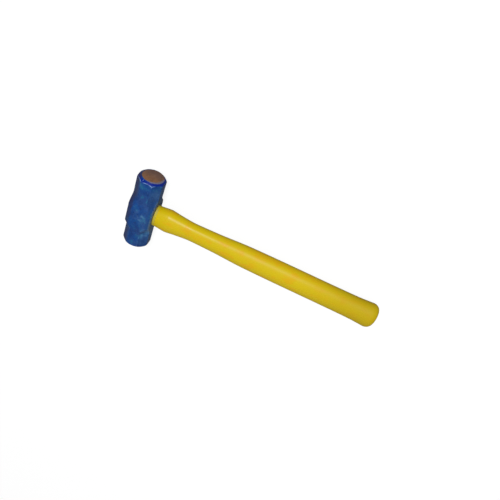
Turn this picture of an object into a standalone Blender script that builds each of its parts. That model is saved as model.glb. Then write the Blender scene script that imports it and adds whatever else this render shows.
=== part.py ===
"""Double-faced octagonal sledge hammer on a glass-fibre handle, lying on its cheek.

In the hammer's own frame X runs along the handle towards the butt, Y is the striking axis and Z crosses
the cheeks, with the origin in the middle of the head. Sections are given by half sizes. An empty called
rest_pose tips that frame until the lower cheek and the butt both touch the floor.
"""

import bmesh
import bpy
import numpy as np

# Driving dimensions, in metres
POLL_FLATS = 0.0400  # across the flats of the octagonal polls
ROOT_NARROWING = 0.0005  # taken off that width where a poll leaves the eye block
HEAD_LENGTH = 0.1276  # from striking face to striking face
FACE_RADIUS = 0.0162
BEVEL_SLOPE = 1.05  # radius gained per length behind the striking face
RIM_ROUNDING = 0.0008
ARRIS_ROUNDING = 0.0012  # radius along the octagon's edges

BLOCK_WIDTH = 0.0394  # of the eye block, along the handle
BLOCK_CHEEKS = 0.0494  # across the bulged cheeks
BLOCK_CUT = 0.0059  # taken off the block's corners along each side
BLOCK_FLAT = 0.0148  # distance from the middle that keeps the block's full width
BLOCK_FADE = 0.0321  # distance from the middle where the block has faded out
CHEEK_FLAT = 0.0060  # the cheeks fall away from here
CHEEK_FADE = 0.0400  # to here, more slowly than the block's sides
CHEEK_ROUNDING = 0.0150  # radius along the edges of the cheeks, where they bulge most

EYE_MOUTH = (0.0169, 0.0126)  # half axes of the oval eye at its mouths, along Y and Z
EYE_WAIST = (0.0154, 0.0114)  # and in the middle of the head

CORE_HALF = (0.0115, 0.0085)
CORE_FIRST = -0.0190
CORE_LAST = 0.3620
RING_THICKNESS = 0.0030
RING_LIP = 0.0004  # how far the seal ring stands out round the jacket

SHOULDER = 0.0410  # the handle's shoulder, from the middle of the head
NECK_HALF = 0.0175  # half height of the handle where it meets the head
HANDLE = (  # distance from the middle of the head, half height
    (SHOULDER, 0.0202),
    (0.0584, 0.0175),
    (0.0827, 0.0155),
    (0.1175, 0.0162),
    (0.1730, 0.0189),
    (0.2321, 0.0195),
    (0.2912, 0.0196),
    (0.3468, 0.0200),
    (0.3884, 0.0227),
)
NECK_OVAL = 0.75  # half width over half height, up to the shoulder
GRIP_OVAL = 0.80  # and from the throat on
THROAT = 0.0930
BUTT_ROUNDING = 0.0118  # length of the rounded end
BUTT_DRAW = 0.0102  # what it takes off the half height

GAP = 0.0003  # left between pieces that touch
OVERSHOOT = 0.0020  # how far a cutter runs past the surface it cuts
CUTTER_RADIUS = 0.0320  # of the turned body that cuts the bevels, clear of the eye block

OVAL_POINTS = 48
TURNED_POINTS = 96

HEAD_END = HEAD_LENGTH / 2
MOUTH = BLOCK_WIDTH / 2
RING_FIRST = MOUTH + GAP
RING_LAST = RING_FIRST + RING_THICKNESS
JACKET_FIRST = RING_LAST + GAP
BUTT = HANDLE[-1][0]


def clear_scene():
    for old in list(bpy.data.objects):
        bpy.data.objects.remove(old, do_unlink=True)


def painted(name, colour, roughness, metallic=0.0):
    """A Principled material whose colour is given as sRGB from 0 to 255."""
    material = bpy.data.materials.new(name)
    material.use_nodes = True
    shader = material.node_tree.nodes["Principled BSDF"]
    linear = [((value / 255 + 0.055) / 1.055) ** 2.4 for value in colour]
    shader.inputs["Base Color"].default_value = (*linear, 1.0)
    shader.inputs["Roughness"].default_value = roughness
    shader.inputs["Metallic"].default_value = metallic
    material.diffuse_color = (*linear, 1.0)
    return material


def smooth_step(share):
    """0 up to 0, 1 from 1 on, with level ends."""
    share = np.clip(share, 0.0, 1.0)
    return share * share * (3 - 2 * share)


def rounded(points, radius, closed):
    """The corners of a polyline rounded with five points each, as a tangent parabola.

    The radius is one number, or one for each corner.
    """
    points = np.array(points, float)
    radii = np.broadcast_to(radius, len(points))
    share = np.linspace(0, 1, 5)[:, None]
    result = []
    for i, corner in enumerate(points):
        if not closed and i in (0, len(points) - 1):
            result.append(corner)
            continue
        back = points[i - 1] - corner
        ahead = points[(i + 1) % len(points)] - corner
        back /= np.linalg.norm(back)
        ahead /= np.linalg.norm(ahead)
        half_angle = np.arccos(np.clip(back @ ahead, -1.0, 1.0)) / 2
        setback = radii[i] / np.tan(half_angle)
        first, last = corner + setback * back, corner + setback * ahead
        result += list((1 - share) ** 2 * first + 2 * share * (1 - share) * corner + share**2 * last)
    return np.array(result)


def loft(name, rings, material, ring_closed=False, sharp_degrees=30):
    """A closed object through rings of equal point counts, with flat ends or joined end to end."""
    mesh_data = bpy.data.meshes.new(name)
    work = bmesh.new()
    loops = [[work.verts.new(point) for point in ring] for ring in rings]
    pairs = list(zip(loops, loops[1:]))
    if ring_closed:
        pairs.append((loops[-1], loops[0]))
    else:
        work.faces.new(loops[0])
        work.faces.new(loops[-1])
    for near, far in pairs:
        for i in range(len(near)):
            work.faces.new((near[i - 1], near[i], far[i], far[i - 1]))
    bmesh.ops.recalc_face_normals(work, faces=work.faces)
    work.to_mesh(mesh_data)
    work.free()
    mesh_data.shade_smooth()
    mesh_data.set_sharp_from_angle(angle=np.radians(sharp_degrees))
    made = bpy.data.objects.new(name, mesh_data)
    bpy.context.collection.objects.link(made)
    if material:
        mesh_data.materials.append(material)
    return made


def oval(x, half_y, half_z, count=OVAL_POINTS):
    """An ellipse across X."""
    turn = np.linspace(0, 2 * np.pi, count, endpoint=False)
    return np.column_stack([np.full(count, x), half_y * np.cos(turn), half_z * np.sin(turn)])


def cut(target, tool, operation):
    """Adds a Boolean to target and keeps its tool out of the model."""
    boolean = target.modifiers.new(tool.name, "BOOLEAN")
    boolean.operation = operation
    boolean.object = tool
    boolean.solver = "EXACT"
    tool.hide_render = True
    tool.display_type = "WIRE"


def head_section(y):
    """The eight-sided section across the striking axis, fading from the eye block into the poll."""
    away = abs(y)
    block = 1 - smooth_step((away - BLOCK_FLAT) / (BLOCK_FADE - BLOCK_FLAT))
    bulge = 1 - smooth_step((away - CHEEK_FLAT) / (CHEEK_FADE - CHEEK_FLAT))
    root = 1 - np.clip((away - BLOCK_FADE) / (HEAD_END - BLOCK_FADE), 0.0, 1.0)
    poll = (POLL_FLATS - ROOT_NARROWING * root) / 2
    poll_side = poll * (np.sqrt(2) - 1)
    half_x = poll + block * (BLOCK_WIDTH / 2 - poll)
    half_z = poll + bulge * (BLOCK_CHEEKS / 2 - poll)
    side = poll_side + block * (BLOCK_CHEEKS / 2 - BLOCK_CUT - poll_side)
    cheek = half_x + side - half_z
    cheek_rounding = ARRIS_ROUNDING + bulge**2 * (CHEEK_ROUNDING - ARRIS_ROUNDING)
    corners, radii = [], []
    for side_x, side_z in ((1, 1), (-1, 1), (-1, -1), (1, -1)):
        step = side_x * side_z
        corners += [(side_x * half_x, side_z * side), (side_x * cheek, side_z * half_z)][::step]
        radii += [ARRIS_ROUNDING, cheek_rounding][::step]
    outline = rounded(corners, radii, closed=True)
    return np.column_stack([outline[:, 0], np.full(len(outline), y), outline[:, 1]])


def turned_bevels():
    """A body turned about Y whose coned ends give the head its flat faces and bevels."""
    depth = (CUTTER_RADIUS - FACE_RADIUS) / BEVEL_SLOPE
    end = [(HEAD_END, 0.0), (HEAD_END, FACE_RADIUS), (HEAD_END - depth, CUTTER_RADIUS)]
    profile = rounded(end, RIM_ROUNDING, closed=False)[1:]
    profile = np.vstack([profile, (profile * (-1, 1))[::-1]])
    turn = np.linspace(0, 2 * np.pi, TURNED_POINTS, endpoint=False)
    rings = []
    for y, radius in profile:
        along = np.full(TURNED_POINTS, y)
        rings.append(np.column_stack([radius * np.cos(turn), along, radius * np.sin(turn)]))
    return loft("bevel_tool", rings, None)


def eye_half(x):
    """Half axes of the hourglass eye at x."""
    flare = (x / MOUTH) ** 2
    return [waist + flare * (mouth - waist) for mouth, waist in zip(EYE_MOUTH, EYE_WAIST)]


def hammer_head(material):
    fading = np.linspace(CHEEK_FLAT, CHEEK_FADE, 15)
    outer = np.concatenate([[0.0], fading, [HEAD_END + OVERSHOOT]])
    stations = np.concatenate([-outer[:0:-1], outer])
    head = loft("hammer_head", [head_section(y) for y in stations], material)
    cut(head, turned_bevels(), "INTERSECT")
    reach = MOUTH + OVERSHOOT
    eye_rings = [oval(x, *eye_half(x)) for x in np.linspace(-reach, reach, 13)]
    cut(head, loft("eye_tool", eye_rings, None), "DIFFERENCE")
    return head


def eye_epoxy(material):
    """The resin that locks the core in the eye, as deep as the head is wide."""
    end = MOUTH - GAP
    rings = [oval(x, *(half - GAP for half in eye_half(x))) for x in np.linspace(-end, end, 11)]
    rings += [oval(x, *(half + GAP for half in CORE_HALF)) for x in (end, -end)]
    return loft("eye_epoxy", rings, material, ring_closed=True)


def handle_core(material):
    """A solid oval rod from the far mouth of the eye nearly to the butt."""
    bevel = 0.0006
    small = [half - bevel for half in CORE_HALF]
    rings = [oval(CORE_FIRST, *small), oval(CORE_FIRST + bevel, *CORE_HALF)]
    rings += [oval(CORE_LAST - bevel, *CORE_HALF), oval(CORE_LAST, *small)]
    return loft("handle_core", rings, material)


def curve_through(stations, x):
    """Heights at x on a smooth curve through the stations that doesn't overshoot them."""
    at, height = np.array(stations).T
    step = np.diff(at)
    slope = np.diff(height) / step
    before, after = slope[:-1], slope[1:]
    weight_before, weight_after = step[:-1] + 2 * step[1:], 2 * step[:-1] + step[1:]
    tangent = np.zeros(len(at))
    turning = before * after <= 0
    with np.errstate(divide="ignore"):
        mean = (weight_before + weight_after) / (weight_before / before + weight_after / after)
    tangent[1:-1] = np.where(turning, 0.0, mean)
    tangent[0] = slope[0] + (slope[0] - slope[1]) * step[0] / (step[0] + step[1])
    tangent[-1] = slope[-1] + (slope[-1] - slope[-2]) * step[-1] / (step[-1] + step[-2])
    span = np.clip(np.searchsorted(at, x, side="right") - 1, 0, len(step) - 1)
    share = (x - at[span]) / step[span]
    rest = 1 - share
    ends = height[span] * (1 + 2 * share) * rest**2 + height[span + 1] * (3 - 2 * share) * share**2
    leans = tangent[span] * share * rest**2 - tangent[span + 1] * share**2 * rest
    return ends + step[span] * leans


def handle_half(x):
    """Half height and half width of the handle at x."""
    if x <= SHOULDER:
        height = NECK_HALF + (HANDLE[0][1] - NECK_HALF) * (x - MOUTH) / (SHOULDER - MOUTH)
    else:
        height = float(curve_through(HANDLE, x))
    into_end = np.clip((x - (BUTT - BUTT_ROUNDING)) / BUTT_ROUNDING, 0.0, 1.0)
    height -= BUTT_DRAW * (1 - np.sqrt(1 - into_end**2))
    ratio = np.interp(x, [SHOULDER, THROAT], [NECK_OVAL, GRIP_OVAL])
    return height, height * ratio


def handle_jacket(material):
    """The moulded handle: neck, shoulder, throat, grip and butt outside, a blind bore for the core inside."""
    bore = [half + GAP for half in CORE_HALF]
    rings = [oval(x, *bore) for x in (CORE_LAST + GAP, JACKET_FIRST)]
    neck = np.linspace(JACKET_FIRST, SHOULDER, 3)
    grip = SHOULDER + (BUTT - BUTT_ROUNDING - SHOULDER) * np.linspace(0, 1, 33)[1:] ** 1.2
    end = BUTT - BUTT_ROUNDING * (1 - np.sin(np.radians([15, 30, 45, 60, 75, 90])))
    rings += [oval(x, *handle_half(x)) for x in np.concatenate([neck, grip, end])]
    return loft("handle_jacket", rings, material)


def eye_seal_ring(material):
    """A soft ring squeezed between the head and the front of the jacket."""
    outer = [half + RING_LIP for half in handle_half(JACKET_FIRST)]
    crown = 0.0005
    rings = [oval(RING_FIRST, *(half - crown for half in outer))]
    rings += [oval(RING_FIRST + crown, *outer), oval(RING_LAST - crown, *outer)]
    rings += [oval(RING_LAST, *(half - crown for half in outer))]
    rings += [oval(x, *(half + GAP for half in CORE_HALF)) for x in (RING_LAST, RING_FIRST)]
    return loft("eye_seal_ring", rings, material, ring_closed=True)


def evaluated_points(made):
    graph = bpy.context.evaluated_depsgraph_get()
    mesh_data = made.evaluated_get(graph).data
    points = np.empty(3 * len(mesh_data.vertices))
    mesh_data.vertices.foreach_get("co", points)
    return points.reshape(-1, 3)


def lay_on_floor(pieces, head, jacket):
    """Parents the pieces to an empty that lays cheek and butt on Z = 0, centred in X and Y."""
    bpy.context.view_layer.update()
    head_points, jacket_points = evaluated_points(head), evaluated_points(jacket)
    slope = 0.0
    for _ in range(8):
        cheek, butt = (p[np.argmin(p[:, 2] - slope * p[:, 0])] for p in (head_points, jacket_points))
        slope = (butt[2] - cheek[2]) / (butt[0] - cheek[0])
    rest_pose = bpy.data.objects.new("rest_pose", None)
    bpy.context.collection.objects.link(rest_pose)
    rest_pose.rotation_euler = (0.0, np.arctan(slope), 0.0)
    tilt = np.array(rest_pose.rotation_euler.to_matrix())
    placed = np.vstack([evaluated_points(piece) for piece in pieces]) @ tilt.T
    low, high = placed.min(axis=0), placed.max(axis=0)
    middle = (low + high) / 2
    rest_pose.location = (-middle[0], -middle[1], -low[2])
    for child in list(bpy.data.objects):
        if child is not rest_pose:
            child.parent = rest_pose


def main():
    clear_scene()
    enamel = painted("blue_enamelled_steel", (38, 76, 136), 0.35, 0.3)
    yellow = painted("yellow_jacket", (205, 178, 20), 0.30)
    glass_fibre = painted("glass_fibre_rod", (196, 186, 140), 0.60)
    resin = painted("cast_epoxy", (150, 128, 70), 0.45)
    seal = painted("seal_ring", (176, 172, 62), 0.60)
    head = hammer_head(enamel)
    jacket = handle_jacket(yellow)
    pieces = [head, jacket, handle_core(glass_fibre), eye_epoxy(resin), eye_seal_ring(seal)]
    lay_on_floor(pieces, head, jacket)


main()
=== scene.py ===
"""Looks of a double-faced sledge hammer: enamelled forged head, bare faces, moulded yellow handle."""

import math

import bpy
import numpy as np
from mathutils import Matrix, Vector


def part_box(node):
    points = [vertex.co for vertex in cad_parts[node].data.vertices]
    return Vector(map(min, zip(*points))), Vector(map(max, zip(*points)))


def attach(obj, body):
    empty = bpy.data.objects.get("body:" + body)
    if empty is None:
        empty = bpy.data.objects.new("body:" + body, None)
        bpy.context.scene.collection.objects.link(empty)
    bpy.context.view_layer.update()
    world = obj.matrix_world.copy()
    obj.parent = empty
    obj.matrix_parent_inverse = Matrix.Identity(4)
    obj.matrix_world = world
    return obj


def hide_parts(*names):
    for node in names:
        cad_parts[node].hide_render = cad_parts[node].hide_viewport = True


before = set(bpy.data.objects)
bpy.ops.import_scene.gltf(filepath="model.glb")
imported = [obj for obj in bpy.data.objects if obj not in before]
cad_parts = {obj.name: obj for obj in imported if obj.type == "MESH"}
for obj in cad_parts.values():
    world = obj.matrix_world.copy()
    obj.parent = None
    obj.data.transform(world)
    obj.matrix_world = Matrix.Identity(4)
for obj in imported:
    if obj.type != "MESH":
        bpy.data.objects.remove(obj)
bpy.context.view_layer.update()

# Sizes in metres, in the hammer's own frame: X along the handle, Y the striking axis, Z across the cheeks
POLL_FLATS = 0.0400
ROOT_NARROWING = 0.0005
FACE_RADIUS = 0.0162
BEVEL_SLOPE = 1.05
BLOCK_WIDTH = 0.0394
BLOCK_CHEEKS = 0.0494
BLOCK_CUT = 0.0059
BLOCK_FLAT = 0.0148
BLOCK_FADE = 0.0321
CHEEK_FLAT = 0.0060  # the cheeks fall away from here
CHEEK_FADE = 0.0400  # to here, more slowly than the block's sides
EYE_MOUTH = (0.0169, 0.0126)
EYE_WAIST = (0.0154, 0.0114)
CORE_HALF = (0.0115, 0.0085)
CORE_FIRST = -0.0190
CORE_LAST = 0.3620
RING_THICKNESS = 0.0030
RING_LIP = 0.0004
SHOULDER = 0.0410
NECK_HALF = 0.0175
HANDLE = (
    (SHOULDER, 0.0202),
    (0.0584, 0.0175),
    (0.0827, 0.0155),
    (0.1175, 0.0162),
    (0.1730, 0.0189),
    (0.2321, 0.0195),
    (0.2912, 0.0196),
    (0.3468, 0.0200),
    (0.3884, 0.0227),
)
NECK_OVAL = 0.75
GRIP_OVAL = 0.80
THROAT = 0.0930
BUTT_ROUNDING = 0.0118
BUTT_DRAW = 0.0102
GAP = 0.0003

ARRIS_SHARPNESS = 85  # a higher power rounds the head's edges less
CHEEK_SHARPNESS = 16  # and the same for the edges of the bulged cheeks
ARRIS_REACH = 0.014  # how far wear spreads from an edge, as a share of the radius
BEVEL_BLEND = 0.01  # and how softly the bevel's colour begins
FACE_CROWN = 0.0003
RIM_ROUNDING = 0.0009
FORGING_WAVE = 0.00009
EYE_CHAMFER = 0.0007
SKIN_EASE = 0.0001  # keeps the smooth skin within the faceted solid
SHOULDER_EASE = 0.00025  # taken off the crest of the shoulder
SHOULDER_EASE_REACH = 0.0035
SEAM_CROWDING = 0.44  # how much closer a section's points lie at its seams
JACKET_CHAMFER = 0.0002
BEVEL_ROWS = 0.0065  # the last stretch before a face, with closer rows
SEAM_HEIGHT = 0.00010
SEAM_WIDTH = 0.0005
MENISCUS = 0.0016

CAMERA_PLACE = (0.1559, 0.4365, 0.5259)
CAMERA_TARGET = (0.1712, 0.0163, 0.0)
CAMERA_UP = (-0.42446, 0.70130, -0.57272)
CAMERA_LENS = 32.25
SENSOR = 36.0
SHARP_DEGREES = 35  # steeper creases than this stay sharp
FLOOR_REACH = 8.0
FLOOR_DROP = 0.0002  # below the hammer's lowest point
FLOOR_RETURN = 0.28  # what the floor throws back on the hammer
FLOOR_SEEN = 0.12  # and what it shows, with the glow below
FLOOR_GLOW = 0.89
SURROUND = 0.32
LIGHTS = (  # name, place, target, size, watts
    ("key", (0.08, 2.30, 2.90), (0.14, 0.0, 0.0), (0.95, 0.72), 116.0),
    ("fill", (0.40, -1.90, 1.50), (0.0, 0.0, 0.0), (1.4, 1.4), 5.0),
    ("overhead", (0.10, 0.0, 2.60), (0.10, 0.0, 0.0), (2.4, 2.4), 15.0),
)

HEAD_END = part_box("hammer_head")[1].y
MOUTH = BLOCK_WIDTH / 2
RING_FIRST = MOUTH + GAP
RING_LAST = RING_FIRST + RING_THICKNESS
JACKET_FIRST = RING_LAST + GAP
SQUEEZE = GAP  # the soft ring fills the gaps beside it
BUTT = HANDLE[-1][0]


def middle(node):
    low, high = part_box(node)
    return (low + high) / 2


HEAD_CENTRE = middle("eye_epoxy")
ALONG_HANDLE = middle("handle_core") - HEAD_CENTRE
TILT = math.atan2(-ALONG_HANDLE.z, ALONG_HANDLE.x)
LAID_DOWN = Matrix.Translation(HEAD_CENTRE) @ Matrix.Rotation(TILT, 4, "Y")


# ---------------------------------------------------------------- surfaces


def smooth_step(share):
    """3 s^2 - 2 s^3 on the share s held between 0 and 1."""
    share = np.clip(share, 0.0, 1.0)
    return share * share * (3 - 2 * share)


def closed_mesh(name, grid, poles=None):
    """A mesh over a grid of rows by columns by three, whose columns run round.

    Without poles the last row joins the first. With poles, a point closes each end as a fan.
    """
    rows, columns = grid.shape[:2]
    index = np.arange(rows * columns).reshape(rows, columns)
    if poles is None:
        index = np.vstack([index, index[:1]])
    turned = np.roll(index, -1, axis=1)
    quads = np.stack([index[:-1], turned[:-1], turned[1:], index[1:]], axis=-1).reshape(-1, 4)
    points = grid.reshape(-1, 3)
    faces = quads.tolist()
    if poles is not None:
        first, last = len(points), len(points) + 1
        points = np.vstack([points, poles])
        faces += np.stack([turned[0], index[0], np.full(columns, first)], axis=-1).tolist()
        faces += np.stack([index[-1], turned[-1], np.full(columns, last)], axis=-1).tolist()
    corners = points[quads]
    crossed = np.cross(corners[:, 2] - corners[:, 0], corners[:, 3] - corners[:, 1])
    if (corners.mean(axis=1) * crossed).sum() < 0:
        faces = [face[::-1] for face in faces]
    made = bpy.data.meshes.new(name)
    made.from_pydata(points.tolist(), [], faces)
    return made


def linked(made):
    bpy.context.scene.collection.objects.link(made)
    return made


def finished(mesh_data, material):
    """Puts a mesh of the hammer's own frame in its place and returns its object."""
    mesh_data.transform(LAID_DOWN)
    mesh_data.shade_smooth()
    mesh_data.set_sharp_from_angle(angle=math.radians(SHARP_DEGREES))
    mesh_data.materials.append(material)
    return linked(bpy.data.objects.new(mesh_data.name, mesh_data))


def ovals(x, half_y, half_z, turn):
    """Rows of ellipses across X: (x, half_y cos turn, half_z sin turn)."""
    x, half_y, half_z = (np.asarray(value, float)[:, None] for value in (x, half_y, half_z))
    return np.stack([x + 0 * turn, half_y * np.cos(turn), half_z * np.sin(turn)], axis=-1)


# ---------------------------------------------------------------- head


def soft_peak(values, power):
    """Soft maximum of values: the sum of each to the power p, to the power 1/p."""
    peak = np.max(values, axis=0)
    return peak * ((values / peak) ** power).sum(axis=0) ** (1 / power)


def head_reach(turn, y):
    """Radius of the head at an angle and a place along Y, with its closeness to an edge and to the bevel.

    The section is an octagon of cheeks, sides and the facets between them, which fades from the eye block
    to the poll, and a cone cuts it near each face. One over the radius is the soft peak of one over each
    of these surfaces' reaches. The cheeks meet their facets first, and more softly where they bulge.
    """
    away = np.abs(y)
    block = 1 - smooth_step((away - BLOCK_FLAT) / (BLOCK_FADE - BLOCK_FLAT))
    bulge = 1 - smooth_step((away - CHEEK_FLAT) / (CHEEK_FADE - CHEEK_FLAT))
    root = 1 - np.clip((away - BLOCK_FADE) / (HEAD_END - BLOCK_FADE), 0.0, 1.0)
    poll = (POLL_FLATS - ROOT_NARROWING * root) / 2
    poll_side = poll * (math.sqrt(2) - 1)
    half_x = poll + block * (BLOCK_WIDTH / 2 - poll)
    half_z = poll + bulge * (BLOCK_CHEEKS / 2 - poll)
    side = poll_side + block * (BLOCK_CHEEKS / 2 - BLOCK_CUT - poll_side)
    cone = FACE_RADIUS + (HEAD_END - away) * BEVEL_SLOPE
    across, over = np.abs(np.cos(turn)), np.abs(np.sin(turn))
    cheek_power = ARRIS_SHARPNESS + bulge * (CHEEK_SHARPNESS - ARRIS_SHARPNESS)
    facet = (across + over) / (half_x + side)
    front = soft_peak(np.stack(np.broadcast_arrays(over / half_z, facet)), cheek_power)
    inverse = np.sort(np.stack(np.broadcast_arrays(front, across / half_x, 1 / cone)), axis=0)
    radius = 1 / soft_peak(inverse, ARRIS_SHARPNESS)
    cheek_closeness = 1 - np.abs(over / half_z / facet - 1) - bulge
    closeness = np.maximum(inverse[-2] / inverse[-1], cheek_closeness)
    arris = np.exp(-(((1 - closeness) / ARRIS_REACH) ** 2))
    bevel = smooth_step(1 - (inverse[-1] * cone - 1) / BEVEL_BLEND)
    return radius, arris, bevel


def forging_wave(turn, y):
    """A slow unevenness of the forged skin: a few sines of angle and place multiplied and added."""
    wave = np.sin(3 * turn + 95 * y + 0.7) * np.sin(2 * turn - 150 * y + 2.1)
    wave = wave + 0.6 * np.sin(5 * turn - 210 * y + 4.0) * np.sin(120 * y + 1.3)
    return FORGING_WAVE * (wave / 1.6 - 1)


def head_grid(columns=320):
    """Rows of the head's skin from one face to the other, with the edge and bevel masks of each point."""
    turn = np.linspace(0, 2 * np.pi, columns, endpoint=False)
    rim = HEAD_END - FACE_CROWN
    half = np.concatenate(
        [
            np.linspace(0, BLOCK_FLAT, 12, endpoint=False),
            np.linspace(BLOCK_FLAT, BLOCK_FADE, 34, endpoint=False),
            np.linspace(BLOCK_FADE, HEAD_END - BEVEL_ROWS, 20, endpoint=False),
            np.linspace(HEAD_END - BEVEL_ROWS, rim - RIM_ROUNDING, 22),
        ]
    )
    body = np.concatenate([-half[:0:-1], half])[:, None]
    radius, arris, bevel = head_reach(turn, body)
    radius = radius + forging_wave(turn, body)
    end_rows = []
    for side in (-1, 1):
        start, corner = (head_reach(turn, np.array([[side * y]]))[0] for y in (rim - RIM_ROUNDING, rim))
        start, corner = (r + forging_wave(turn, side * rim) for r in (start, corner))
        t = np.linspace(0, 1, 8)[1:, None]
        bend_r = (1 - t) ** 2 * start + 2 * t * (1 - t) * corner + t**2 * (corner - RIM_ROUNDING)
        bend_y = rim - RIM_ROUNDING * (1 - t) ** 2 + 0 * turn
        share = np.linspace(1, 0, 16)[1:-1, None]
        flat_r = share * (corner - RIM_ROUNDING)
        flat_y = rim + FACE_CROWN * (1 - share**2) + 0 * turn
        end_rows.append((side * np.vstack([bend_y, flat_y]), np.vstack([bend_r, flat_r])))
    (low_y, low_r), (high_y, high_r) = end_rows
    y = np.vstack([low_y[::-1], body + 0 * turn, high_y])
    r = np.vstack([low_r[::-1], radius, high_r])
    ends = np.zeros_like(low_r)
    arris = np.vstack([ends, arris, ends])
    bevel = np.vstack([ends, bevel, ends])
    return np.stack([r * np.cos(turn), y, r * np.sin(turn)], axis=-1), arris, bevel


def eye_half(x):
    """Half axes of the eye: the waist plus the flare to the mouths times (x / mouth)^2."""
    flare = (np.asarray(x) / MOUTH) ** 2
    return [waist + flare * (mouth - waist) for mouth, waist in zip(EYE_MOUTH, EYE_WAIST)]


def eye_tool():
    """The hourglass that cuts the eye, with a chamfer that opens one for one at each mouth."""
    turn = np.linspace(0, 2 * np.pi, 160, endpoint=False)
    reach = MOUTH + 0.003
    inside = np.linspace(-MOUTH + EYE_CHAMFER, MOUTH - EYE_CHAMFER, 21)
    x = np.concatenate([[-reach], inside, [reach]])
    opened = np.maximum(np.abs(x) - (MOUTH - EYE_CHAMFER), 0)
    half_y, half_z = (half + opened for half in eye_half(np.clip(x, -MOUTH, MOUTH)))
    return closed_mesh("eye_tool", ovals(x, half_y, half_z, turn), [(-reach, 0, 0), (reach, 0, 0)])


def forged_head(material):
    """The head's skin, with its masks as attributes, and the eye cut out of it."""
    grid, arris, bevel = head_grid()
    skin = closed_mesh("blank", grid, [(0, -HEAD_END, 0), (0, HEAD_END, 0)])
    for name, mask in (("arris", arris), ("bevel", bevel)):
        layer = skin.attributes.new(name, "FLOAT", "POINT")
        layer.data.foreach_set("value", np.append(mask.ravel(), [0.0, 0.0]).astype(np.float32))
    blank = linked(bpy.data.objects.new("blank", skin))
    tool = linked(bpy.data.objects.new("tool", eye_tool()))
    boolean = blank.modifiers.new("eye", "BOOLEAN")
    boolean.operation = "DIFFERENCE"
    boolean.object = tool
    bpy.context.view_layer.update()
    depsgraph = bpy.context.evaluated_depsgraph_get()
    cut = bpy.data.meshes.new_from_object(blank.evaluated_get(depsgraph))
    for made in (blank, tool):
        bpy.data.objects.remove(made)
    cut.name = "forged_head"
    return finished(cut, material)


# ---------------------------------------------------------------- handle


def curve_through(stations, x):
    """A cubic between the stations; its slope at each is a weighted harmonic mean of those beside it."""
    at, height = np.array(stations).T
    step = np.diff(at)
    slope = np.diff(height) / step
    before, after = slope[:-1], slope[1:]
    weight_before, weight_after = step[:-1] + 2 * step[1:], 2 * step[:-1] + step[1:]
    mean = (weight_before + weight_after) / (weight_before / before + weight_after / after)
    first = slope[0] + (slope[0] - slope[1]) * step[0] / (step[0] + step[1])
    last = slope[-1] + (slope[-1] - slope[-2]) * step[-1] / (step[-1] + step[-2])
    tangent = np.concatenate([[first], np.where(before * after > 0, mean, 0.0), [last]])
    span = np.clip(np.searchsorted(at, x, side="right") - 1, 0, len(step) - 1)
    share = (x - at[span]) / step[span]
    rest = 1 - share
    ends = height[span] * (1 + 2 * share) * rest**2 + height[span + 1] * (3 - 2 * share) * share**2
    leans = tangent[span] * share * rest**2 - tangent[span + 1] * share**2 * rest
    return ends + step[span] * leans


def handle_half(x):
    """Half height and half width: a line up to the shoulder, the curve beyond it, less a rounded end."""
    neck = NECK_HALF + (HANDLE[0][1] - NECK_HALF) * (x - MOUTH) / (SHOULDER - MOUTH)
    height = np.where(x <= SHOULDER, neck, curve_through(HANDLE, np.maximum(x, SHOULDER)))
    into_end = np.clip((x - (BUTT - BUTT_ROUNDING)) / BUTT_ROUNDING, 0.0, 1.0)
    height = height - BUTT_DRAW * (1 - np.sqrt(1 - into_end**2))
    return height, height * np.interp(x, [SHOULDER, THROAT], [NECK_OVAL, GRIP_OVAL])


def jacket(material, columns=168):
    """The handle's skin outside and the blind bore for the rod inside.

    Each section is an ellipse whose points crowd towards its edges, with a fine moulding seam there: a
    raised line whose height falls off as e to the power of minus (z / width)^2.
    """
    even = np.linspace(0, 2 * np.pi, columns, endpoint=False)
    turn = even - SEAM_CROWDING * np.sin(2 * even)
    end = BUTT - BUTT_ROUNDING * (1 - np.sin(np.radians(np.arange(6, 91, 6))))
    x = np.concatenate(
        [
            np.linspace(JACKET_FIRST, SHOULDER, 14, endpoint=False),
            np.linspace(SHOULDER, THROAT, 44, endpoint=False),
            np.linspace(THROAT, BUTT - BUTT_ROUNDING, 130),
            end,
        ]
    )
    half_y, half_z = handle_half(x)
    ease = SKIN_EASE + SHOULDER_EASE * np.exp(-(((x - SHOULDER) / SHOULDER_EASE_REACH) ** 2))
    half_y, half_z = half_y - ease, half_z - ease
    skin = ovals(x, half_y, half_z, turn)
    seam = SEAM_HEIGHT * np.exp(-((skin[..., 2] / SEAM_WIDTH) ** 2))
    fade = smooth_step((BUTT - x) / BUTT_ROUNDING)[:, None]
    skin[..., 1] += np.sign(skin[..., 1]) * (seam * fade - SEAM_HEIGHT)
    edge = ovals([JACKET_FIRST + JACKET_CHAMFER], half_y[:1], half_z[:1], turn)
    front = ovals([JACKET_FIRST], half_y[:1] - JACKET_CHAMFER, half_z[:1] - JACKET_CHAMFER, turn)
    bore_y, bore_z = (np.full(2, half + GAP) for half in CORE_HALF)
    bore = ovals([CORE_LAST + GAP, JACKET_FIRST], bore_y, bore_z, turn)
    share = np.linspace(1, 0, 7)[1:-1]
    cap = ovals(np.full(5, BUTT), half_y[-1] * share, half_z[-1] * share, turn)
    grid = np.vstack([bore, front, edge, skin[1:], cap])
    poles = [(CORE_LAST + GAP, 0, 0), (BUTT, 0, 0)]
    return finished(closed_mesh("yellow_jacket", grid, poles), material)


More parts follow.
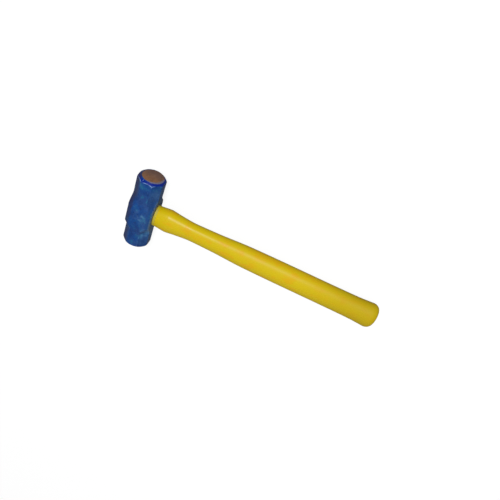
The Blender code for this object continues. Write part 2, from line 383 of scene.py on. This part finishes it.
def rod(material):
    """The glass-fibre rod: ovals along X with a small bevel at each end."""
    turn = np.linspace(0, 2 * np.pi, 96, endpoint=False)
    bevel = 0.0006
    x = np.array([CORE_FIRST, CORE_FIRST + bevel / 3, CORE_FIRST + bevel, CORE_LAST - bevel, CORE_LAST])
    draw = np.array([bevel, bevel / 3, 0, 0, bevel])
    grid = ovals(x, CORE_HALF[0] - draw, CORE_HALF[1] - draw, turn)
    inner = ovals([CORE_FIRST], [CORE_HALF[0] * 0.5], [CORE_HALF[1] * 0.5], turn)
    poles = [(CORE_FIRST, 0, 0), (CORE_LAST, 0, 0)]
    return finished(closed_mesh("glass_fibre_rod", np.vstack([inner, grid]), poles), material)


def resin(material):
    """The cast resin: the eye's own curve outside, the rod inside, and a dished meniscus in both mouths."""
    turn = np.linspace(0, 2 * np.pi, 128, endpoint=False)
    end = MOUTH - GAP
    outer_x = np.linspace(-end, end, 25)
    outer_y, outer_z = (half - GAP for half in eye_half(outer_x))
    across = np.linspace(0, 1, 12)[1:-1]
    dish = MENISCUS * 4 * across * (1 - across)
    inner = [half + GAP for half in CORE_HALF]
    cap_y = outer_y[-1] + (inner[0] - outer_y[-1]) * across
    cap_z = outer_z[-1] + (inner[1] - outer_z[-1]) * across
    grid = np.vstack(
        [
            ovals(outer_x, outer_y, outer_z, turn),
            ovals(end - dish, cap_y, cap_z, turn),
            ovals([end, -end], [inner[0]] * 2, [inner[1]] * 2, turn),
            ovals(-end + dish, cap_y[::-1], cap_z[::-1], turn),
        ]
    )
    return finished(closed_mesh("cast_resin", grid), material)


def seal_ring(material):
    """The soft ring: a low crown outside, the sine of the share across it, and the rod's oval inside."""
    turn = np.linspace(0, 2 * np.pi, 144, endpoint=False)
    first, last = RING_FIRST - SQUEEZE, RING_LAST + SQUEEZE
    outer = [half + RING_LIP / 4 for half in handle_half(np.array([JACKET_FIRST]))]
    share = np.linspace(0, np.pi, 13)
    x = (first + last) / 2 - np.cos(share) * (last - first) / 2
    draw = RING_LIP / 2 * (1 - np.sin(share))
    inner_y, inner_z = (np.full(2, half + GAP) for half in CORE_HALF)
    outside = ovals(x, outer[0] - draw, outer[1] - draw, turn)
    grid = np.vstack([outside, ovals([last, first], inner_y, inner_z, turn)])
    return finished(closed_mesh("seal_ring", grid), material)


# ---------------------------------------------------------------- shader maths


class Value:
    """An output of a material's node. Arithmetic on it adds Math nodes."""

    def __init__(self, finish, socket):
        self.finish = finish
        self.socket = socket

    def maths(self, operation, *terms):
        return self.finish.node("ShaderNodeMath", {"operation": operation}, dict(enumerate(terms)))

    def __add__(self, other):
        return self.maths("ADD", self, other)

    def __radd__(self, other):
        return self.maths("ADD", other, self)

    def __sub__(self, other):
        return self.maths("SUBTRACT", self, other)

    def __rsub__(self, other):
        return self.maths("SUBTRACT", other, self)

    def __mul__(self, other):
        return self.maths("MULTIPLY", self, other)

    def __rmul__(self, other):
        return self.maths("MULTIPLY", other, self)

    def __abs__(self):
        return self.maths("ABSOLUTE", self)

    def root(self):
        return self.maths("SQRT", self)

    def larger(self, other):
        return self.maths("MAXIMUM", self, other)


class Finish:
    """A Principled material under construction."""

    def __init__(self, name, **fixed):
        self.material = bpy.data.materials.new(name)
        self.material.use_nodes = True
        self.tree = self.material.node_tree
        self.shader = self.tree.nodes["Principled BSDF"]
        for key, value in fixed.items():
            self.shader.inputs[key.replace("_", " ")].default_value = value

    def node(self, kind, settings=None, inputs=None, output=0):
        """Adds a node: its settings first, then its sockets' values or links."""
        made = self.tree.nodes.new(kind)
        for key, value in (settings or {}).items():
            setattr(made, key, value)
        for key, value in (inputs or {}).items():
            if isinstance(value, Value):
                self.tree.links.new(value.socket, made.inputs[key])
            else:
                made.inputs[key].default_value = value
        return Value(self, made.outputs[output])

    def feed(self, **values):
        for key, value in values.items():
            self.tree.links.new(value.socket, self.shader.inputs[key.replace("_", " ")])

    def place(self):
        """Position in the hammer's own frame, in metres."""
        settings = {"vector_type": "TEXTURE"}
        inputs = {"Vector": self.node("ShaderNodeTexCoord", output="Object")}
        inputs.update({"Location": HEAD_CENTRE, "Rotation": (0.0, TILT, 0.0)})
        return self.node("ShaderNodeMapping", settings, inputs)

    def stretched(self, place, scale):
        return self.node("ShaderNodeVectorMath", {"operation": "MULTIPLY"}, {0: place, 1: scale})

    def parts(self, place):
        split = self.node("ShaderNodeSeparateXYZ", inputs={"Vector": place})
        return [Value(self, split.socket.node.outputs[i]) for i in range(3)]

    def noise(self, place, per_metre, detail=2.0, roughness=0.5):
        inputs = {"Vector": place, "Scale": per_metre, "Detail": detail, "Roughness": roughness}
        return self.node("ShaderNodeTexNoise", None, inputs)

    def cells(self, place, per_metre):
        """Distance to the nearest of scattered points."""
        return self.node("ShaderNodeTexVoronoi", None, {"Vector": place, "Scale": per_metre})

    def rise(self, value, low, high):
        """0 below low, 1 above high, smooth between; low may be the larger one."""
        settings = {"interpolation_type": "SMOOTHSTEP"}
        inputs = {"Value": value, "From Min": low, "From Max": high}
        return self.node("ShaderNodeMapRange", settings, inputs)

    def mixed(self, share, colour, other):
        inputs = {0: share, 6: colour, 7: other}
        return self.node("ShaderNodeMix", {"data_type": "RGBA"}, inputs, output=2)

    def bump(self, height, distance):
        return self.node("ShaderNodeBump", None, {"Height": height, "Distance": distance})

    def attribute(self, name):
        return self.node("ShaderNodeAttribute", {"attribute_name": name}, output="Fac")


def srgb(red, green, blue):
    """A linear colour from sRGB values of 0 to 255."""
    return (*(((value / 255 + 0.055) / 1.055) ** 2.4 for value in (red, green, blue)), 1.0)


# ---------------------------------------------------------------- finishes

SCUFF_X = 0.003
SCUFF_Y = 0.002

ENAMEL = srgb(8, 60, 122)
ENAMEL_VIOLET = srgb(26, 58, 112)
ENAMEL_TEAL = srgb(24, 86, 124)
ENAMEL_DEEP = srgb(12, 44, 98)
ENAMEL_FLECK = srgb(66, 104, 150)
# Painted shade: the darker, more saturated blue of the bevels.
ENAMEL_BEVEL_SHADE = srgb(0, 30, 122)
# Worn, thinned enamel on the edges, with a painted highlight.
THIN_ENAMEL_AND_GLINT = srgb(120, 154, 200)
SCUFFED = srgb(96, 138, 178)
# Painted shade for the head's outer side, away from the handle.
LEFT_SIDE_SHADE = srgb(44, 38, 58)
DUST = srgb(104, 116, 106)
# Painted light on the shaded slopes by the eye block, and wear beside the handle.
ROOT_LIGHT_AND_WEAR = srgb(72, 118, 164)
RUST_GREY = srgb(124, 96, 84)
RUST_BROWN = srgb(160, 116, 84)
RUST_PALE = srgb(146, 116, 104)
RUST_DEEP = srgb(122, 84, 60)
RUST_PIT = srgb(92, 72, 66)
# Bare metal on the faces' rims, with a painted highlight.
RIM_METAL_AND_HIGHLIGHT = srgb(146, 144, 166)
YELLOW = srgb(191, 167, 3)
YELLOW_ORANGE = srgb(198, 155, 4)
YELLOW_OLIVE = srgb(178, 166, 10)
# Painted shade towards the handle's butt.
YELLOW_BUTT_SHADE = srgb(166, 142, 4)
FIBRE_PALE = srgb(214, 206, 168)
FIBRE = srgb(164, 152, 104)
FIBRE_STREAK = srgb(150, 140, 96)
RESIN_DARK = srgb(146, 122, 62)
RESIN_PALE = srgb(176, 156, 98)
RUBBER = srgb(178, 160, 26)
RUBBER_DUST = srgb(158, 148, 56)


def brushed_enamel(finish, place, bevel, speck):
    """Blue enamel in slow clouds and teal and deep patches, with fine pale flecks, and a plain darker blue
    painted on the bevels as their shade.
    """
    cloud = finish.noise(place, 45.0, 3.0)
    patch = finish.noise(finish.stretched(place, (1.0, 0.6, 1.0)), 104.0, 5.0, 0.68)
    colour = finish.mixed(finish.rise(cloud, 0.35, 0.65), ENAMEL, ENAMEL_VIOLET)
    colour = finish.mixed(finish.rise(patch, 0.51, 0.62) * 0.8, colour, ENAMEL_TEAL)
    colour = finish.mixed(finish.rise(patch, 0.48, 0.36) * 0.8, colour, ENAMEL_DEEP)
    colour = finish.mixed(finish.rise(speck, 0.56, 0.72) * 0.35, colour, ENAMEL_FLECK)
    # The bevels take a darker blue: painted shade.
    return finish.mixed(bevel * 0.92, colour, ENAMEL_BEVEL_SHADE), patch


def handled_enamel(finish, colour, place, speck, scuff):
    """The enamel's scuffs, painted shade on the outer side, dust and wear on the side of the handle, and
    painted light on the shaded slopes where the block fades into the polls.
    """
    x, y, _ = finish.parts(place)
    away = abs(y)
    colour = finish.mixed(scuff * 0.42, colour, SCUFFED)
    # Painted shade: a dark grey-violet over the head's outer side, away from the handle.
    left_side_shade = finish.rise(x, -0.009, -0.015) * (0.5 + finish.rise(speck, 0.45, 0.6) * 0.3)
    colour = finish.mixed(left_side_shade, colour, LEFT_SIDE_SHADE)
    dusty = finish.rise(x, 0.0172, 0.0190) * finish.rise(away, 0.036, 0.024)
    colour = finish.mixed(dusty * finish.rise(speck, 0.36, 0.56) * 0.55, colour, DUST)
    # Painted light: a paler blue on the slopes where the block fades into each poll, lightening their
    # shade. The handle's side gets the same colour as wear.
    far_root_light = finish.rise(y, -0.0120, -0.0230) * finish.rise(y, -0.0460, -0.0360)
    near_root_light = finish.rise(y, 0.0300, 0.0380) * finish.rise(y, 0.0520, 0.0460)
    root = (far_root_light * 0.6 + near_root_light * 0.2) * finish.rise(x, 0.006, 0.012)
    root = root * finish.rise(finish.noise(place, 160.0, 4.0, 0.6), 0.36, 0.60)
    handle_side = finish.rise(x, 0.004, 0.014) * finish.rise(away, 0.0570, 0.0530)
    return finish.mixed(root + handle_side * 0.1, colour, ROOT_LIGHT_AND_WEAR)


def rusted_face(finish, place, rim):
    """Bare struck steel, greyer above and browner below, in slow rust clouds, with a paler bare rim that is
    a painted highlight on one side.
    """
    _, _, z = finish.parts(place)
    rust = finish.noise(place, 120.0, 5.0, 0.65)
    lower = finish.rise(z + (rust - 0.5) * 0.02, -0.010, 0.014)
    colour = finish.mixed(lower, RUST_GREY, RUST_BROWN)
    colour = finish.mixed(finish.rise(rust, 0.54, 0.66) * 0.5, colour, RUST_PALE)
    colour = finish.mixed(finish.rise(rust, 0.46, 0.34) * 0.4, colour, RUST_DEEP)
    pits = finish.rise(finish.noise(place, 420.0, 3.0), 0.56, 0.72)
    colour = finish.mixed(pits * 0.4, colour, RUST_PIT)
    return finish.mixed(rim, colour, RIM_METAL_AND_HIGHLIGHT)


def enamel_and_steel():
    """Brushed-on blue enamel over forged steel, scuffed, thinned on the edges with a painted highlight
    there, painted shade on the outer side and the bevels, and gone from the faces.
    """
    finish = Finish("blue_enamel_on_steel", Specular_IOR_Level=0.15)
    place = finish.place()
    x, y, z = finish.parts(place)
    away = abs(y)
    arris = finish.attribute("arris")
    bevel = finish.attribute("bevel")
    speck = finish.noise(place, 380.0, 4.0, 0.65)

    scuff_zone = finish.rise(abs(y - SCUFF_Y), 0.015, 0.003) * finish.rise(abs(x - SCUFF_X), 0.012, 0.002)
    scuff = finish.rise(finish.noise(place, 120.0, 3.0, 0.55), 0.44, 0.66) * scuff_zone
    enamel, patch = brushed_enamel(finish, place, bevel, speck)
    enamel = handled_enamel(finish, enamel, place, speck, scuff)

    # Paler enamel along the bevel's lower edges and the arrises: partly worn, thinned paint and partly a
    # painted highlight, kept off the handle's side of the near poll.
    bevel_edge = finish.rise(arris, 0.0, 0.3) * finish.rise(away, HEAD_END - 0.0085, HEAD_END - 0.0055)
    thin_and_glint = bevel_edge * finish.rise(finish.noise(place, 150.0, 3.0, 0.6), 0.40, 0.58)
    thin_and_glint = thin_and_glint * finish.rise(x, 0.013, 0.009).larger(finish.rise(y, 0.0, -0.010))
    thin_and_glint = thin_and_glint.larger(arris * finish.rise(patch, 0.48, 0.60) * 0.25)
    enamel = finish.mixed(thin_and_glint * 0.75, enamel, THIN_ENAMEL_AND_GLINT)

    ragged = finish.noise(place, 700.0, 3.0) - 0.5
    radius = (x * x + z * z).root()
    worn_side = x * 0.075 + z * 0.03
    near_face = finish.rise(away, HEAD_END - 0.0030, HEAD_END - 0.0024)
    bare = near_face * finish.rise(radius - worn_side + ragged * 0.0012, 0.0164, 0.0159)
    # The rim's pale bare metal shows only towards +X and +Z: a painted highlight.
    rim = bare * finish.rise(radius + ragged * 0.0010, FACE_RADIUS - 0.0012, FACE_RADIUS - 0.0004)
    rim = rim * finish.rise(x + z, 0.010, 0.017)
    colour = finish.mixed(bare, enamel, rusted_face(finish, place, rim))

    smudge = finish.noise(place, 70.0, 4.0, 0.6)
    rough = 0.34 + smudge * 0.16 + scuff * 0.2 + bare * 0.1 - rim * 0.1 - bevel * 0.12
    peel = finish.noise(place, 420.0, 2.0) * (1 - bare)
    grain = finish.noise(place, 900.0, 4.0, 0.6)
    dents = finish.noise(place, 150.0, 2.0)
    height = peel * 0.35 + grain * 0.12 + dents * 1.2 - bare * 0.5
    finish.feed(Base_Color=colour, Roughness=rough, Metallic=bare * 0.6 + rim * 0.3)
    finish.feed(Normal=finish.bump(height, 0.00022))
    return finish.material


def moulded_yellow():
    """Glossy yellow plastic with slow orange and olive drifts along the flow, and a fine moulded skin."""
    finish = Finish("moulded_yellow", Specular_IOR_Level=0.14)
    place = finish.place()
    x, _, _ = finish.parts(place)
    drift = finish.noise(finish.stretched(place, (0.55, 1.0, 1.0)), 85.0, 4.0, 0.6)
    fleck = finish.noise(finish.stretched(place, (0.5, 1.0, 1.0)), 240.0, 4.0, 0.6)
    colour = finish.mixed(finish.rise(drift, 0.46, 0.66) * 0.85, YELLOW, YELLOW_ORANGE)
    colour = finish.mixed(finish.rise(fleck, 0.45, 0.25) * 0.35, colour, YELLOW_OLIVE)
    # Painted shade: a darker yellow towards the butt.
    colour = finish.mixed(finish.rise(x, 0.24, 0.385) * 0.7, colour, YELLOW_BUTT_SHADE)
    handled = finish.noise(place, 55.0, 5.0, 0.65)
    rough = 0.26 + handled * 0.14
    rough = rough + finish.rise(x, 0.07, 0.17) * 0.10 + finish.rise(x, 0.24, 0.38) * 0.12
    skin = finish.noise(place, 700.0, 3.0)
    flow = finish.noise(finish.stretched(place, (0.12, 1.0, 1.0)), 180.0, 2.0)
    relief = finish.bump(skin * 0.15 + flow * 0.5, 0.0001)
    finish.feed(Base_Color=colour, Roughness=rough, Normal=relief)
    return finish.material


def glass_fibre():
    """Cut glass fibre: pale resin with the ends of the rovings as specks, streaked along the rod."""
    finish = Finish("glass_fibre")
    place = finish.place()
    cells = finish.cells(finish.stretched(place, (0.02, 1, 1)), 1600.0)
    tone = finish.noise(finish.stretched(place, (0.05, 1, 1)), 320.0, 3.0)
    colour = finish.mixed(finish.rise(cells, 0.15, 0.55), FIBRE_PALE, FIBRE)
    colour = finish.mixed(finish.rise(tone, 0.4, 0.7) * 0.5, colour, FIBRE_STREAK)
    finish.feed(Base_Color=colour, Roughness=0.5 + tone * 0.25, Normal=finish.bump(cells, 0.00008))
    return finish.material


def cast_epoxy():
    """Amber resin with small bubbles and a cloudy surface."""
    finish = Finish("cast_epoxy", IOR=1.55)
    place = finish.place()
    cloud = finish.noise(place, 180.0, 4.0, 0.6)
    bubble = finish.cells(place, 620.0)
    colour = finish.mixed(finish.rise(cloud, 0.35, 0.7), RESIN_DARK, RESIN_PALE)
    dimple = finish.rise(bubble, 0.22, 0.10)
    skin = finish.bump(cloud * 0.5 - dimple, 0.00015)
    finish.feed(Base_Color=colour, Roughness=0.22 + cloud * 0.2, Normal=skin)
    return finish.material


def soft_ring():
    """Pale greenish yellow rubber with dust in its pores."""
    finish = Finish("soft_ring")
    place = finish.place()
    dust = finish.noise(place, 300.0, 4.0, 0.65)
    pores = finish.noise(place, 1400.0, 2.0)
    colour = finish.mixed(finish.rise(dust, 0.4, 0.7), RUBBER, RUBBER_DUST)
    finish.feed(Base_Color=colour, Roughness=0.5 + dust * 0.25, Normal=finish.bump(pores, 0.00006))
    return finish.material


# ---------------------------------------------------------------- stage


def floor():
    """A wide pale floor just under the hammer.

    It throws back less light than it shows, so the hammer's undersides stay dark.
    """
    finish = Finish("pale_floor", Roughness=0.9, Specular_IOR_Level=0.0, Emission_Strength=1.0)
    seen = finish.node("ShaderNodeLightPath", output="Is Camera Ray")
    tones = (FLOOR_RETURN, FLOOR_SEEN, 0.0, FLOOR_GLOW)
    returned, shown, dark, glow = ((tone, tone, tone, 1.0) for tone in tones)
    finish.feed(Base_Color=finish.mixed(seen, returned, shown))
    finish.feed(Emission_Color=finish.mixed(seen, dark, glow))
    signs = ((-1, -1), (1, -1), (1, 1), (-1, 1))
    corners = [(x * FLOOR_REACH, y * FLOOR_REACH, -FLOOR_DROP) for x, y in signs]
    mesh_data = bpy.data.meshes.new("floor")
    mesh_data.from_pydata(corners, [], [(0, 1, 2, 3)])
    mesh_data.materials.append(finish.material)
    linked(bpy.data.objects.new("floor", mesh_data))


def facing(place, target, upward):
    """The pose of a light or camera that looks along its own -Z, in the hammer's own frame."""
    back = (Vector(place) - Vector(target)).normalized()
    right = Vector(upward).cross(back).normalized()
    turned = Matrix((right, back.cross(right), back)).transposed().to_4x4()
    return LAID_DOWN @ Matrix.Translation(place) @ turned


def softbox(name, place, target, size, watts):
    """A rectangular area light whose long side lies along the handle."""
    light = bpy.data.lights.new(name, "AREA")
    light.shape = "RECTANGLE"
    light.size, light.size_y = size
    light.energy = watts
    made = linked(bpy.data.objects.new(name, light))
    made.visible_camera = False
    back = (Vector(place) - Vector(target)).normalized()
    made.matrix_world = facing(place, target, back.cross(Vector((1, 0, 0))))


def daylight(strength):
    """An even white surround, which shows as plain white behind the floor."""
    world = bpy.data.worlds.new("surround")
    bpy.context.scene.world = world
    world.use_nodes = True
    tree = world.node_tree
    background = tree.nodes["Background"]
    background.inputs["Color"].default_value = (1.0, 1.0, 1.0, 1.0)
    path = tree.nodes.new("ShaderNodeLightPath")
    choice = tree.nodes.new("ShaderNodeMapRange")
    choice.inputs["To Min"].default_value = strength
    choice.inputs["To Max"].default_value = 1.0
    tree.links.new(path.outputs["Is Camera Ray"], choice.inputs["Value"])
    tree.links.new(choice.outputs[0], background.inputs["Strength"])


def camera():
    """Looks down on the upper cheek and the near striking face, with the head at the upper left."""
    data = bpy.data.cameras.new("camera")
    data.sensor_width = SENSOR
    data.lens = CAMERA_LENS
    data.clip_start = 0.01
    made = linked(bpy.data.objects.new("camera", data))
    made.matrix_world = facing(CAMERA_PLACE, CAMERA_TARGET, CAMERA_UP)
    bpy.context.scene.camera = made


def main():
    made = (
        (forged_head(enamel_and_steel()), "hammer_head", "head_enamel"),
        (jacket(moulded_yellow()), "handle_jacket", "jacket"),
        (rod(glass_fibre()), "handle_core", "core"),
        (resin(cast_epoxy()), "eye_epoxy", "epoxy"),
        (seal_ring(soft_ring()), "eye_seal_ring", "seal"),
    )
    for piece, node, slot in made:
        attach(piece, "root")
        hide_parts(node)
    floor()
    for light in LIGHTS:
        softbox(*light)
    daylight(SURROUND)
    camera()
    bpy.context.scene.view_settings.view_transform = "Standard"


main()
